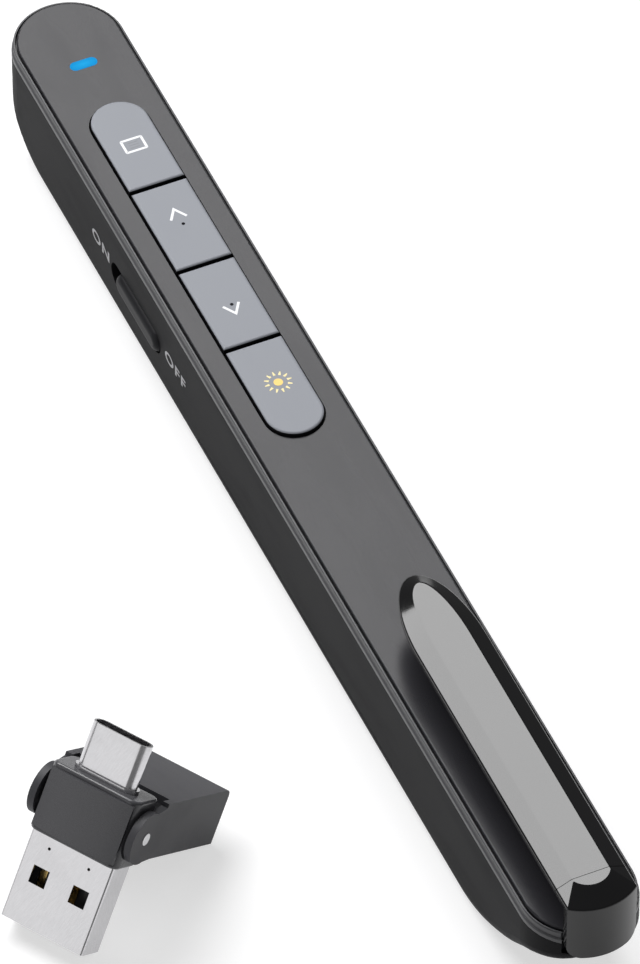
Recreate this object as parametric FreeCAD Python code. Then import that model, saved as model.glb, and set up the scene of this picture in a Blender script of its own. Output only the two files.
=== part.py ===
import FreeCAD, Part
import math
import os

os.makedirs("parts", exist_ok=True)

# Wireless presentation clicker with its plug-in receiver. Millimetres.
# +X points out of the nose (where the laser leaves), +Y is the side with the power switch,
# +Z is up through the key face. z = 0 is the flat underside, x = y = 0 is the middle of the bar.

# The bar as a whole
LENGTH = 170.0
WIDTH = 15.0
HEIGHT = 16.5
WALL = 1.2
SPLIT_Z = 14.4            # where the lower housing ends and the rim frame begins

# Key face
PLATE_EDGE = 0.70         # how far the plate edge stands in from the widest outline
PLATE_T = 1.0
OPEN_X0, OPEN_X1 = 2.35, 64.95
OPEN_HALF = 4.05
KEY_HALF = 3.85
KEY_TOP = HEIGHT + 0.6
KEY_SPANS = [("key_screen", 49.2, 64.75), ("key_page_up", 34.15, 48.7),
             ("key_page_down", 19.35, 33.65), ("key_laser", 2.55, 18.85)]
PLUNGER_END = 14.25

# Main board
BOARD_Z0, BOARD_Z1 = 12.4, 13.2
BOARD_X0, BOARD_X1 = -3.0, 77.2
BOARD_HALF = 5.6
SCREW_SPOTS = [(68.8, 3.6), (68.8, -3.6), (-0.8, 3.6), (-0.8, -3.6)]

# Status light
LED_X = 72.9

# Laser
LASER_Z = 10.0
LASER_R = 2.2

# Power switch in the +Y wall, drawn at its OFF end
SWITCH_Z = 7.2
KNOB_X0, KNOB_X1 = 31.35, 44.55
KNOB_HALF = 1.6
SWITCH_TRAVEL = 2.0

# Battery bay
CELL_R = 5.25
CELL_Z = 6.95
CELL_X0, CELL_X1 = -34.4, 9.3
COVER_X0, COVER_X1 = -40.0, 19.0
COVER_TOP = 2.3

# Clip
CLIP_HALF = 4.6
CLIP_TIP_X = -29.0
CLIP_TIP_RUN = 12.0       # length of the arm over which its tip narrows to a point of an ellipse
CLIP_TOP = HEIGHT + 6.4   # at the tail; the arm rises a little from there to its tip
CLIP_T = 1.7
CLIP_SHOULDER = 2.1       # width of the slope that runs all round the flat top
CLIP_DROP = 0.95          # how far that slope falls
CLIP_RISE = 0.8           # degrees
CLIP_SEAM_X = -81.0
TAIL_OUT_X = -85.9
TAIL_FOOT_Z = 13.1        # how far down the end cap wraps the tail

# Receiver: the hinge of its cap is the origin of its own frame
USB_A = (12.0, 4.5, 11.7)       # width, thickness, length of the metal plug
COLLAR = (12.8, 6.0, 9.0)       # width, thickness, length of the body between the plugs
CAP_REACH = 19.5
CAP_FRONT = 3.0
RX_X, RX_Y = -41.5, 47.6
RX_YAW = 122.0                  # heading of the USB-A plug over the table, degrees


def vec(x, y, z):
    return FreeCAD.Vector(x, y, z)


def box(x0, x1, y0, y1, z0, z1):
    return Part.makeBox(x1 - x0, y1 - y0, z1 - z0, vec(x0, y0, z0))


def rod(radius, start, end):
    """Round bar between two points."""
    a, b = vec(*start), vec(*end)
    return Part.makeCylinder(radius, (b - a).Length, a, b - a)


def face_of(edges):
    return Part.Face(Part.Wire(edges))


def polygon_y(points, y0, y1):
    """Prism from x, z points, running along Y."""
    pts = [vec(x, y0, z) for x, z in points]
    return Part.Face(Part.makePolygon(pts + [pts[0]])).extrude(vec(0, y1 - y0, 0))


def fuse(shapes):
    out = shapes[0]
    for shape in shapes[1:]:
        out = out.fuse(shape)
    return out.removeSplitter()


def slot_plan(x0, x1, half, z):
    """Outline with two full-round ends, lying at height z."""
    a, b = x0 + half, x1 - half
    return face_of([
        Part.LineSegment(vec(a, half, z), vec(b, half, z)).toShape(),
        Part.Arc(vec(b, half, z), vec(x1, 0, z), vec(b, -half, z)).toShape(),
        Part.LineSegment(vec(b, -half, z), vec(a, -half, z)).toShape(),
        Part.Arc(vec(a, -half, z), vec(x0, 0, z), vec(a, half, z)).toShape()])


def slot_block(x0, x1, half, z0, z1):
    return slot_plan(x0, x1, half, z0).extrude(vec(0, 0, z1 - z0))


def bar_block(inset, z0, z1):
    """The bar's full-round outline, set in all round by inset."""
    return slot_block(-LENGTH / 2 + inset, LENGTH / 2 - inset, WIDTH / 2 - inset, z0, z1)


def rounded(shape, radius, keep):
    """Round the edges that keep(edge) picks; fall back to smaller radii on a tight spot."""
    edges = [e for e in shape.Edges if keep(e)]
    for scale in (1.0, 0.8, 0.6, 0.4):
        try:
            out = shape.makeFillet(radius * scale, edges)
            if out.isValid() and out.Volume > 0:
                return out
        except Exception:
            continue
    return shape


def at_height(z, tol=0.02):
    return lambda e: abs(e.BoundBox.ZMin - z) < tol and abs(e.BoundBox.ZMax - z) < tol


# Housing

def side_view(inset):
    """Boat-shaped side outline as a slab along Y: flat belly, both ends sweeping up."""
    top = 40.0
    nose = [(70, 0), (75, 0.9), (77.5, 2.2), (80, 4.7), (82.5, 8.2), (85, 12.6)]
    tail = [(-60, 0), (-65.5, 0.9), (-70, 2.9), (-75, 6.0), (-80, 9.6), (-85, 13.2)]
    dx, dz = 1.35 * inset, inset
    nose = [(x - dx, z + dz) for x, z in nose]
    tail = [(x + dx, z + dz) for x, z in tail]
    y0 = -WIDTH

    def curve(points, flat_dir):
        line = Part.BSplineCurve()
        line.interpolate([vec(x, y0, z) for x, z in points],
                         InitialTangent=vec(flat_dir * 5.0, 0, 0),
                         FinalTangent=vec(flat_dir * 2.4, 0, 4.4))
        return line.toShape()

    a, b = nose[-1], tail[-1]
    wire = [Part.LineSegment(vec(tail[0][0], y0, tail[0][1]), vec(nose[0][0], y0, nose[0][1])).toShape(),
            curve(nose, 1.0),
            Part.LineSegment(vec(a[0], y0, a[1]), vec(a[0], y0, top)).toShape(),
            Part.LineSegment(vec(a[0], y0, top), vec(b[0], y0, top)).toShape(),
            Part.LineSegment(vec(b[0], y0, top), vec(b[0], y0, b[1])).toShape(),
            curve(tail, -1.0)]
    return face_of(Part.__sortEdges__(wire)).extrude(vec(0, 2 * WIDTH, 0))


def hull(inset, z_top, radius):
    """Solid boat shape up to z_top, its lower edge rounded."""
    block = bar_block(inset, inset, z_top)
    solid = block.common(side_view(inset))

    def lower(e):
        return e.BoundBox.ZMin < 13.5 and e.BoundBox.ZMax < z_top - 0.2 and e.Length > 1.0 \
            and (e.BoundBox.YMax > 0.5 or e.BoundBox.YMin < -0.5) \
            and not (abs(e.BoundBox.XLength) < 0.01)
    return rounded(solid, radius, lower)


def tail_notch(grow):
    """Room at the tail for the clip's end cap."""
    return box(-LENGTH / 2 - 2, -83.15 + grow, -CLIP_HALF - grow, CLIP_HALF + grow,
               12.95 - grow, HEIGHT + 6)


def lower_housing(shell):
    body = shell.cut(hull(WALL, SPLIT_Z + 1, 1.0))
    # battery bay ends, with the belly opened between them for the cover
    body = body.fuse(box(-41.4, -40.2, -6.6, 6.6, 1.0, 12.0).common(shell))
    body = body.fuse(box(11.6, 12.7, -6.6, 6.6, 2.4, 12.0).common(shell))
    opening = box(COVER_X0 - 0.12, COVER_X1 + 0.12, -8, 8, -1, COVER_TOP + 0.12)
    body = body.cut(opening)
    # posts that steady the main board from below
    for x, y in ((60, 5.0), (60, -5.0), (22, -5.0), (-1.8, 5.6), (-1.8, -5.6)):
        side = 1 if y > 0 else -1
        body = body.fuse(box(x - 0.8, x + 0.8, min(side * 4.9, side * 6.5), max(side * 4.9, side * 6.5),
                             9.8, BOARD_Z0 - 0.05))
    # laser cradle
    cradle = box(69, 71, -6.5, 6.5, 0.8, LASER_Z).cut(rod(LASER_R + 0.05, (60, 0, LASER_Z), (80, 0, LASER_Z)))
    body = body.fuse(cradle.common(shell))
    nose_wall = box(80.2, 81.6, -4.2, 4.2, 4.5, SPLIT_Z - 0.9).common(shell)
    body = body.fuse(nose_wall)
    # laser mouth: a stepped bore, its window seated on the step
    body = body.cut(rod(1.2, (75, 0, LASER_Z), (90, 0, LASER_Z)))
    body = body.cut(rod(1.85, (80.9, 0, LASER_Z), (90, 0, LASER_Z)))
    # slot for the power switch
    half = KNOB_HALF + 0.25
    slot = slot_block(KNOB_X0 - 0.25, KNOB_X1 + SWITCH_TRAVEL + 0.25, half, 0, 6)
    slot.rotate(vec(0, 0, 0), vec(1, 0, 0), -90)
    slot.translate(vec(0, 4.5, SWITCH_Z))
    body = body.cut(slot)
    body = body.cut(tail_notch(0.15))
    return body.removeSplitter()


def battery_cover(shell):
    trim = box(COVER_X0, COVER_X1, -8, 8, -1, COVER_TOP)
    cover = shell.common(trim).cut(hull(WALL, SPLIT_Z + 1, 1.0))
    # grip ribs on the belly, the finger catch and two locating tongues inside
    for i in range(6):
        x = COVER_X1 - 3.0 - 1.2 * i
        cover = cover.cut(box(x, x + 0.5, -3.6, 3.6, -0.5, 0.3))
    for y in (-4.6, 3.6):
        cover = cover.fuse(box(13.2, 14.2, y, y + 1.0, 1.1, 4.2))
    return cover.removeSplitter()


def rim_frame():
    """Upper frame: stepped lip round the plate, ledge under it, tongue into the housing."""
    ring = bar_block(0.0, SPLIT_Z + 0.1, 15.35)
    ring = rounded(ring, 0.32, at_height(15.35))
    lip = bar_block(0.2, 15.0, HEIGHT - 0.3)
    lip = rounded(lip, 0.14, at_height(HEIGHT - 0.3))
    frame = ring.fuse(lip)
    frame = frame.cut(bar_block(0.45, HEIGHT - PLATE_T - 0.05, HEIGHT + 1))
    frame = frame.cut(bar_block(1.95, 13, HEIGHT + 1))
    tongue = bar_block(WALL + 0.15, 13.55, SPLIT_Z + 0.3).cut(bar_block(WALL + 0.95, 13, SPLIT_Z + 1))
    tongue = tongue.cut(box(77.3, 90, -9, 9, 13, 14.3)).cut(box(-90, -79.0, -9, 9, 13, 14.45))
    frame = frame.fuse(tongue)
    for x in (68.8, -0.8):
        web = box(x - 1.7, x + 1.7, -6.4, 6.4, 14.75, 15.4)
        frame = frame.fuse(web)
    for x, y in SCREW_SPOTS:
        frame = frame.fuse(rod(1.5, (x, y, BOARD_Z1 + 0.05), (x, y, 14.9)))
    # board clearance where the tongue would meet it, and pilot holes
    for x, y in SCREW_SPOTS:
        frame = frame.cut(rod(0.62, (x, y, 12), (x, y, 15.0)))
    frame = frame.cut(tail_notch(0.15))
    return frame.removeSplitter()


def face_plate():
    plate = bar_block(PLATE_EDGE, HEIGHT - PLATE_T, HEIGHT)
    plate = rounded(plate, 0.22, at_height(HEIGHT))
    plate = plate.cut(slot_block(OPEN_X0, OPEN_X1, OPEN_HALF, 10, HEIGHT + 1))
    plate = plate.cut(pill(LED_X, 3.7 + 0.06, 1.5 + 0.06, 10, HEIGHT + 1))
    plate = plate.cut(tail_notch(0.15))
    return plate.removeSplitter()


def pill(x, across, along, z0, z1):
    """Small rounded bar lying across the face at x."""
    half = along / 2
    block = slot_block(-across / 2, across / 2, half, z0, z1)
    block.rotate(vec(0, 0, 0), vec(0, 0, 1), 90)
    block.translate(vec(x, 0, 0))
    return block


# Keys

def key(name, x0, x1):
    """One key: shaped top, side wings under the plate, a plunger over its switch."""
    plan = slot_block(OPEN_X0 + 0.2, OPEN_X1 - 0.2, KEY_HALF, 14.7, KEY_TOP)
    cap = plan.common(box(x0, x1, -6, 6, 14, 20))
    cap = rounded(cap, 0.38, at_height(KEY_TOP))
    wing = slot_block(OPEN_X0 - 0.35, OPEN_X1 + 0.35, KEY_HALF + 0.6, 14.7, 15.3)
    end0 = x0 - 0.6 if name == "key_laser" else x0
    end1 = x1 + 0.6 if name == "key_screen" else x1
    wing = wing.common(box(end0, end1, -6, 6, 14, 16))
    # hollow underside, as moulded keys have
    hollow = slot_block(x0 + 1.2, x1 - 1.2, 2.6, 14.0, 15.9)
    solid = cap.fuse(wing).cut(hollow)
    mid = (x0 + x1) / 2
    solid = solid.fuse(rod(1.2, (mid, 0, PLUNGER_END), (mid, 0, 16.0)))
    solid = solid.fuse(box(mid - 0.4, mid + 0.4, -2.7, 2.7, 15.0, 16.0))
    return solid.removeSplitter()


def key_mat():
    """Rubber web under the keys with a hole for each plunger and feet on the board."""
    web = slot_block(OPEN_X0 - 0.3, OPEN_X1 + 0.3, 4.6, 13.95, 14.25)
    feet = []
    for _, x0, x1 in KEY_SPANS:
        mid = (x0 + x1) / 2
        web = web.cut(rod(1.9, (mid, 0, 13), (mid, 0, 15)))
        for dx in (-5.2, 5.2):
            for y in (-3.4, 3.4):
                feet.append(rod(0.6, (mid + dx, y, BOARD_Z1 + 0.02), (mid + dx, y, 14.0)))
    return fuse([web] + feet)


# Electronics

def main_board():
    board = slot_block(BOARD_X0 - 3, BOARD_X1, BOARD_HALF, BOARD_Z0, BOARD_Z1)
    board = board.cut(box(BOARD_X0 - 10, BOARD_X0, -9, 9, 10, 15))
    for x, y in SCREW_SPOTS:
        board = board.cut(rod(0.85, (x, y, 12), (x, y, 14)))
    return board


def tact_switches():
    """Four low dome switches, one under each plunger."""
    out = []
    for _, x0, x1 in KEY_SPANS:
        mid = (x0 + x1) / 2
        base = box(mid - 1.7, mid + 1.7, -1.6, 1.6, BOARD_Z1 + 0.02, 13.6)
        base = rounded(base, 0.25, lambda e: e.BoundBox.ZLength > 0.2 and e.BoundBox.XLength < 0.01)
        out.append(base.fuse(rod(0.9, (mid, 0, 13.5), (mid, 0, 13.85))).removeSplitter())
    return Part.makeCompound(out)


def chip(x, y, size, z_top, thick):
    """Flat chip under the board with a row of legs on two sides, as one solid."""
    sx, sy = size
    body = box(x - sx / 2, x + sx / 2, y - sy / 2, y + sy / 2, z_top - thick, z_top)
    legs = []
    count = max(2, int(sx / 0.8))
    for i in range(count):
        lx = x - sx / 2 + (i + 0.5) * sx / count
        reach = sy / 2 + 0.35
        legs.append(box(lx - 0.15, lx + 0.15, y - reach, y + reach, z_top - 0.2, z_top))
    return fuse([body] + legs)


def small_parts():
    """Capacitors and resistors under the board."""
    out = []
    for x, y in ((56.0, 3.0), (56.0, -3.0), (44.0, -3.6), (41.5, -3.6), (28.0, -3.4), (26.0, -3.4),
                 (18.0, 3.2), (18.0, -3.2)):
        out.append(box(x - 0.5, x + 0.5, y - 0.3, y + 0.3, BOARD_Z0 - 0.6, BOARD_Z0 - 0.02))
    return Part.makeCompound(out)


def screws():
    out = []
    for x, y in SCREW_SPOTS:
        head = rod(1.2, (x, y, 11.6), (x, y, BOARD_Z0 - 0.03))
        head = rounded(head, 0.3, at_height(11.6))
        head = head.cut(box(x - 0.9, x + 0.9, y - 0.15, y + 0.15, 11, 11.95))
        head = head.cut(box(x - 0.15, x + 0.15, y - 0.9, y + 0.9, 11, 11.95))
        out.append(head.fuse(rod(0.58, (x, y, 12.0), (x, y, 14.7))).removeSplitter())
    return Part.makeCompound(out)


def light_pipe():
    pipe = pill(LED_X, 3.7, 1.5, 14.1, HEIGHT + 0.04)
    foot = pill(LED_X, 4.6, 2.3, 14.6, HEIGHT - PLATE_T - 0.05)
    pipe = pipe.fuse(foot)
    return pipe.removeSplitter()


def status_led():
    base = box(LED_X - 0.4, LED_X + 0.4, -0.8, 0.8, BOARD_Z1 + 0.02, 13.5)
    dome = box(LED_X - 0.4, LED_X + 0.4, -0.55, 0.55, 13.45, 13.85)
    return base.fuse(dome).removeSplitter()


# Laser

def laser_barrel():
    tube = rod(LASER_R, (66.2, 0, LASER_Z), (79.2, 0, LASER_Z))
    tube = tube.cut(rod(1.7, (66.0, 0, LASER_Z), (77.6, 0, LASER_Z)))
    tube = tube.cut(rod(1.1, (70, 0, LASER_Z), (80, 0, LASER_Z)))
    for x in (67.0, 68.0, 72.0, 73.0):
        ring = rod(LASER_R + 0.5, (x, 0, LASER_Z), (x + 0.35, 0, LASER_Z))
        tube = tube.cut(ring.cut(rod(LASER_R - 0.12, (x - 1, 0, LASER_Z), (x + 1, 0, LASER_Z))))
    return tube


def laser_lens():
    lens = rod(1.66, (76.2, 0, LASER_Z), (77.5, 0, LASER_Z))
    return rounded(lens, 0.35, lambda e: True)


def laser_diode():
    flange = rod(1.66, (67.4, 0, LASER_Z), (68.2, 0, LASER_Z))
    can = rod(1.2, (68.2, 0, LASER_Z), (70.4, 0, LASER_Z))
    return fuse([flange, can] + [rod(0.16, (65.2, y, LASER_Z), (67.5, y, LASER_Z)) for y in (-0.6, 0.6)])


def laser_board():
    board = box(64.2, 65.0, -3.0, 3.0, 6.6, 12.0)
    for y in (-0.6, 0.6):
        board = board.cut(rod(0.3, (64, y, LASER_Z), (66, y, LASER_Z)))
    return board


def laser_window():
    disc = rod(1.8, (80.95, 0, LASER_Z), (81.75, 0, LASER_Z))
    return rounded(disc, 0.2, lambda e: abs(e.BoundBox.XMin - 81.75) < 0.01)


def wire(points, radius):
    """Insulated lead through the points."""
    line = Part.BSplineCurve()
    line.interpolate([vec(*p) for p in points])
    path = Part.Wire(line.toShape())
    start = vec(*points[0])
    direction = line.tangent(line.FirstParameter)[0]
    ring = Part.Wire(Part.makeCircle(radius, start, direction))
    return path.makePipeShell([ring], True, True)


# Power switch

def lozenge(x0, x1, half, y0, y1):
    block = slot_block(x0, x1, half, 0, y1 - y0)
    block.rotate(vec(0, 0, 0), vec(1, 0, 0), -90)
    block.translate(vec(0, y0, SWITCH_Z))
    return block


def switch_knob():
    """Smooth rounded bar in the wall, with a wing behind the wall and a fork on the slider."""
    top = 8.1
    knob = lozenge(KNOB_X0, KNOB_X1, KNOB_HALF, 5.8, top)

    def outer_rim(e):
        return abs(e.BoundBox.YMin - top) < 0.01 and abs(e.BoundBox.YMax - top) < 0.01
    knob = rounded(knob, 0.95, outer_rim)
    wing = box(28.6, 47.0, 5.45, 6.1, SWITCH_Z - 2.5, SWITCH_Z + 2.5)
    fork = box(35.6, 36.1, 4.6, 5.5, SWITCH_Z - 1.0, SWITCH_Z + 1.0)
    fork2 = box(38.1, 38.6, 4.6, 5.5, SWITCH_Z - 1.0, SWITCH_Z + 1.0)
    return fuse([knob, wing, fork, fork2])


def switch_slider():
    stem = box(36.25, 37.95, 3.4, 5.3, SWITCH_Z - 0.7, SWITCH_Z + 0.7)
    foot = box(35.4, 38.8, 2.9, 3.5, SWITCH_Z - 1.2, SWITCH_Z + 1.2)
    return stem.fuse(foot).removeSplitter()


def switch_can():
    can = box(33.6, 42.6, 2.45, 4.4, SWITCH_Z - 1.9, SWITCH_Z + 1.9)
    can = can.cut(box(33.9, 42.3, 2.8, 4.05, SWITCH_Z - 1.6, SWITCH_Z + 1.6))
    can = can.cut(box(35.6, 40.7, 3.9, 4.6, SWITCH_Z - 0.95, SWITCH_Z + 0.95))
    return can


def switch_board():
    return box(30.5, 46.0, 1.6, 2.4, 4.2, BOARD_Z0 - 0.05)


# Battery

def battery_cell():
    can = rod(CELL_R, (CELL_X0, 0, CELL_Z), (CELL_X1, 0, CELL_Z))
    can = rounded(can, 0.5, lambda e: e.BoundBox.XLength < 0.01)
    nub = rod(1.9, (CELL_X1 - 0.2, 0, CELL_Z), (CELL_X1 + 0.8, 0, CELL_Z))
    return can.fuse(nub).removeSplitter()


def battery_spring():
    """Coil that presses on the flat end of the cell."""
    pitch, turns, radius, thick = 1.15, 3.0, 2.6, 0.28
    helix = Part.makeHelix(pitch, pitch * turns, radius)
    ring = Part.Wire(Part.makeCircle(thick, vec(radius, 0, 0), vec(0, 1, 0)))
    coil = Part.Wire(helix).makePipeShell([ring], True, True)
    coil.rotate(vec(0, 0, 0), vec(0, 1, 0), 90)
    coil.translate(vec(-38.25, 0, CELL_Z))
    return coil


def spring_plate():
    return box(-39.95, -39.5, -3.4, 3.4, CELL_Z - 3.4, CELL_Z + 3.4).fuse(
        rod(2.2, (-39.6, 0, CELL_Z), (-38.7, 0, CELL_Z))).removeSplitter()


def battery_contact():
    leaf = polygon_y([(11.45, 3.6), (11.15, 3.6), (10.35, 5.6), (10.35, 8.3), (11.15, 10.3), (11.45, 10.3),
                      (11.45, 10.1), (11.3, 10.0), (10.65, 8.3), (10.65, 5.6), (11.3, 3.9), (11.45, 3.8)],
                     -2.4, 2.4)
    return leaf


# Clip

def clip_outline(inset, z):
    """Outline of the whole clip seen from above: half-ellipse tip, straight sides, bowed tail."""
    half = CLIP_HALF - inset
    run = CLIP_TIP_RUN - inset
    front = CLIP_TIP_X - CLIP_TIP_RUN
    corner = TAIL_OUT_X + 1.6 + 1.4 * inset
    back = TAIL_OUT_X + 1.45 * inset
    ellipse = Part.Ellipse(vec(0, 0, 0), run, half)
    nose = Part.ArcOfEllipse(ellipse, -math.pi / 2, math.pi / 2).toShape()
    nose.translate(vec(front, 0, z))
    edges = [nose,
             Part.LineSegment(vec(front, half, z), vec(corner, half, z)).toShape(),
             Part.Arc(vec(corner, half, z), vec(back, 0, z), vec(corner, -half, z)).toShape(),
             Part.LineSegment(vec(corner, -half, z), vec(front, -half, z)).toShape()]
    return Part.Wire(Part.__sortEdges__(edges))


def clip_crown():
    """Top of the whole clip: a flat oval with a slope all round it."""
    edge = CLIP_TOP - CLIP_DROP
    return Part.makeLoft([clip_outline(0.0, edge), clip_outline(CLIP_SHOULDER, CLIP_TOP)], True, True)


def clip_block(z0, z1):
    return Part.Face(clip_outline(0.0, z0)).extrude(vec(0, 0, z1 - z0))


def soften_top(shape):
    """Round the rim of the flat top and the rim below the slope."""
    shape = rounded(shape, 0.5, lambda e: at_height(CLIP_TOP)(e) and e.BoundBox.XLength > 0.3)
    edge = CLIP_TOP - CLIP_DROP
    return rounded(shape, 0.3, lambda e: at_height(edge)(e) and e.BoundBox.XLength > 0.3)


def clip_arm():
    """Sprung arm with a round tip and a bead under it."""
    z0 = CLIP_TOP - CLIP_T
    whole = clip_crown().fuse(clip_block(z0, CLIP_TOP - CLIP_DROP)).removeSplitter()
    arm = soften_top(whole).common(box(CLIP_SEAM_X + 0.05, 0, -9, 9, 5, 30))
    x = CLIP_TIP_X - 8.0
    bead = rod(1.1, (x, -2.4, z0 + 0.1), (x, 2.4, z0 + 0.1))
    arm = arm.fuse(bead.common(box(-60, -20, -5, 5, 10, z0 + 0.4))).removeSplitter()
    arm.rotate(vec(CLIP_SEAM_X, 0, z0), vec(0, 1, 0), -CLIP_RISE)
    return arm


def tail_cap():
    """End cap: carries the arm on a post behind the plate and wraps the bar's tail."""
    z0 = CLIP_TOP - CLIP_T
    whole = clip_crown().fuse(clip_block(TAIL_FOOT_Z, CLIP_TOP - CLIP_DROP)).removeSplitter()
    cap = soften_top(whole).common(box(-95, CLIP_SEAM_X - 0.05, -9, 9, 5, 30))
    cap = cap.cut(box(-83.3, 0, -9, 9, 5, z0))
    foot = box(-95, 0, -CLIP_HALF, CLIP_HALF, TAIL_FOOT_Z, 40)
    foot = rounded(foot, 1.6, lambda e: e.BoundBox.XLength > 50 and e.BoundBox.ZMax < TAIL_FOOT_Z + 0.1)
    cap = cap.common(foot)
    post = box(-83.4, -82.2, -CLIP_HALF + 0.7, CLIP_HALF - 0.7, HEIGHT + 0.02, z0 + 0.05)
    spigot = box(-83.9, -83.2, -3.0, 3.0, 14.2, 17.5)
    return cap.fuse(post).fuse(spigot).removeSplitter()


# Receiver, in its own frame: x to the USB-A tip, y to the plug's right side, z out of its front face

def tube_section(width, thick, x0, x1, wall, corner):
    outer = box(x0, x1, -width / 2, width / 2, -thick / 2, thick / 2)
    outer = rounded(outer, corner, lambda e: e.BoundBox.XLength > 1)
    inner = box(x0 - 1, x1 + 1, -width / 2 + wall, width / 2 - wall, -thick / 2 + wall, thick / 2 - wall)
    return outer.cut(inner)


def usb_a_shell():
    w, t, length = USB_A
    x0 = COLLAR[2] / 2 - 1.5
    x1 = COLLAR[2] / 2 + length
    shell = tube_section(w, t, x0, x1, 0.3, 0.35)
    for y in (-2.9, 2.9):
        for z in (-1, 1):
            shell = shell.cut(box(x1 - 7.6, x1 - 5.3, y - 1.15, y + 1.15, min(0, z * 4), max(0, z * 4)))
        shell = shell.cut(rod(0.2, (x1 - 10.2, y, 1.0), (x1 - 10.2, y, 4.0)))
    return shell


def usb_a_tongue():
    w, t, length = USB_A
    x1 = COLLAR[2] / 2 + length - 0.4
    tongue = box(COLLAR[2] / 2 - 1.3, x1, -w / 2 + 0.45, w / 2 - 0.45, -t / 2 + 0.36, -0.12)
    for i in range(4):
        y = -3.5 + 7.0 * i / 3
        tongue = tongue.cut(box(x1 - 8.0, x1 - 0.6, y - 0.55, y + 0.55, -0.32, 1.0))
    return tongue


def usb_a_contacts():
    w, t, length = USB_A
    x1 = COLLAR[2] / 2 + length - 0.4
    out = []
    for i in range(4):
        y = -3.5 + 7.0 * i / 3
        out.append(box(x1 - 7.9, x1 - 0.8, y - 0.47, y + 0.47, -0.30, -0.16))
    return Part.makeCompound(out)


def oval_bar(width, thick, x0, x1):
    half = thick / 2
    block = slot_block(-width / 2, width / 2, half, 0, x1 - x0)
    block.rotate(vec(0, 0, 0), vec(0, 0, 1), 90)
    block.rotate(vec(0, 0, 0), vec(0, 1, 0), 90)
    block.translate(vec(x0, 0, 0))
    return block


def usb_c_shell():
    x1, x0 = -COLLAR[2] / 2 + 1.2, -COLLAR[2] / 2 - 6.2
    shell = oval_bar(8.3, 2.5, x0, x1).cut(oval_bar(7.7, 1.9, x0 - 1, x1 + 1))
    collar = oval_bar(9.0, 3.2, -COLLAR[2] / 2 - 0.45, -COLLAR[2] / 2 - 0.02)
    collar = collar.cut(oval_bar(7.7, 1.9, x0 - 1, x1 + 1))
    return shell.fuse(collar).removeSplitter()


def usb_c_tongue():
    x1, x0 = -COLLAR[2] / 2 + 1.2, -COLLAR[2] / 2 - 5.4
    plug = oval_bar(7.6, 1.8, x0, x1)
    return plug.cut(box(x0 - 1, x0 + 4.4, -2.9, 2.9, -0.4, 0.4))


def collar_panel():
    """Bowed panel that stands proud of the collar's front face."""
    w, t, length = COLLAR
    half_x, half_y = length / 2 - 0.6, w / 2 - 0.45
    low, edge, crown = t / 2 - 0.5, t / 2 + 0.12, t / 2 + 0.75
    start = -half_x
    bow = Part.Arc(vec(start, -half_y, edge), vec(start, 0, crown), vec(start, half_y, edge)).toShape()
    sides = [Part.LineSegment(vec(start, half_y, edge), vec(start, half_y, low)).toShape(),
             Part.LineSegment(vec(start, half_y, low), vec(start, -half_y, low)).toShape(),
             Part.LineSegment(vec(start, -half_y, low), vec(start, -half_y, edge)).toShape()]
    return face_of(Part.__sortEdges__([bow] + sides)).extrude(vec(2 * half_x, 0, 0))


def receiver_collar():
    w, t, length = COLLAR
    body = box(-length / 2, length / 2, -w / 2, w / 2, -t / 2, t / 2)
    body = rounded(body, 1.3, lambda e: e.BoundBox.XLength > 1)
    body = rounded(body, 0.35, lambda e: e.BoundBox.XLength < 0.01 and e.Length > 1.0)
    body = body.fuse(collar_panel())
    # room for the two plugs and the board between them
    body = body.cut(box(length / 2 - 1.6, length / 2 + 1, -USB_A[0] / 2 - 0.03, USB_A[0] / 2 + 0.03,
                        -USB_A[1] / 2 - 0.03, USB_A[1] / 2 + 0.03))
    body = body.cut(oval_bar(8.36, 2.56, -length / 2 - 1, -length / 2 + 1.25))
    body = body.cut(box(-length / 2 + 1.2, length / 2 - 1.5, -4.6, 4.6, -1.7, 1.7))
    for side in (-1, 1):
        body = body.cut(rod(0.83, (0, side * (w / 2 - 1.5), 0), (0, side * (w / 2 + 1), 0)))
    return body


def receiver_board():
    return box(-2.9, 2.6, -4.4, 4.4, -0.5, 0.1)


def receiver_chip():
    return box(-1.6, 1.4, -1.6, 1.6, 0.12, 0.95)


def cap_pins():
    w = COLLAR[0]
    out = []
    for side in (-1, 1):
        out.append(rod(0.8, (0, side * (w / 2 - 1.3), 0), (0, side * (w / 2 + 1.25), 0)))
    return Part.makeCompound(out)


def receiver_cap():
    """Channel-shaped cap, open towards the plug, with two round ears on the hinge pins."""
    w = COLLAR[0]
    inner = w / 2 + 0.25
    outer = inner + 0.95
    back0, back1 = -4.35, -3.35
    reach = -CAP_REACH
    parts = [box(back0, back1, -outer, outer, reach, -4.75)]
    parts.append(box(back0, CAP_FRONT, -outer, outer, reach, reach + 1.0))
    for side in (-1, 1):
        lo, hi = sorted((side * inner, side * outer))
        parts.append(box(back0, CAP_FRONT, lo, hi, reach, -3.0))
        parts.append(rod(3.4, (0, lo, 0), (0, hi, 0)))
        ear = [(back0, -4.75), (CAP_FRONT, -3.0), (3.2, -1.0), (0, 2.0), (-3.2, -1.0)]
        parts.append(polygon_y(ear, lo, hi))
    shell = fuse(parts)
    shell = rounded(shell, 0.9, lambda e: e.BoundBox.YLength > 10 and abs(e.BoundBox.XMax - back0) < 0.01
                    and abs(e.BoundBox.ZMin - reach) < 0.01)
    # stiffening rib across the inside of the back wall
    shell = shell.fuse(box(back1 - 0.1, back1 + 0.7, -0.4, 0.4, reach + 0.8, -6.0))
    for side in (-1, 1):
        shell = shell.cut(rod(0.84, (0, side * (w / 2 - 2), 0), (0, side * (outer + 1), 0)))
    return shell.removeSplitter()


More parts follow.
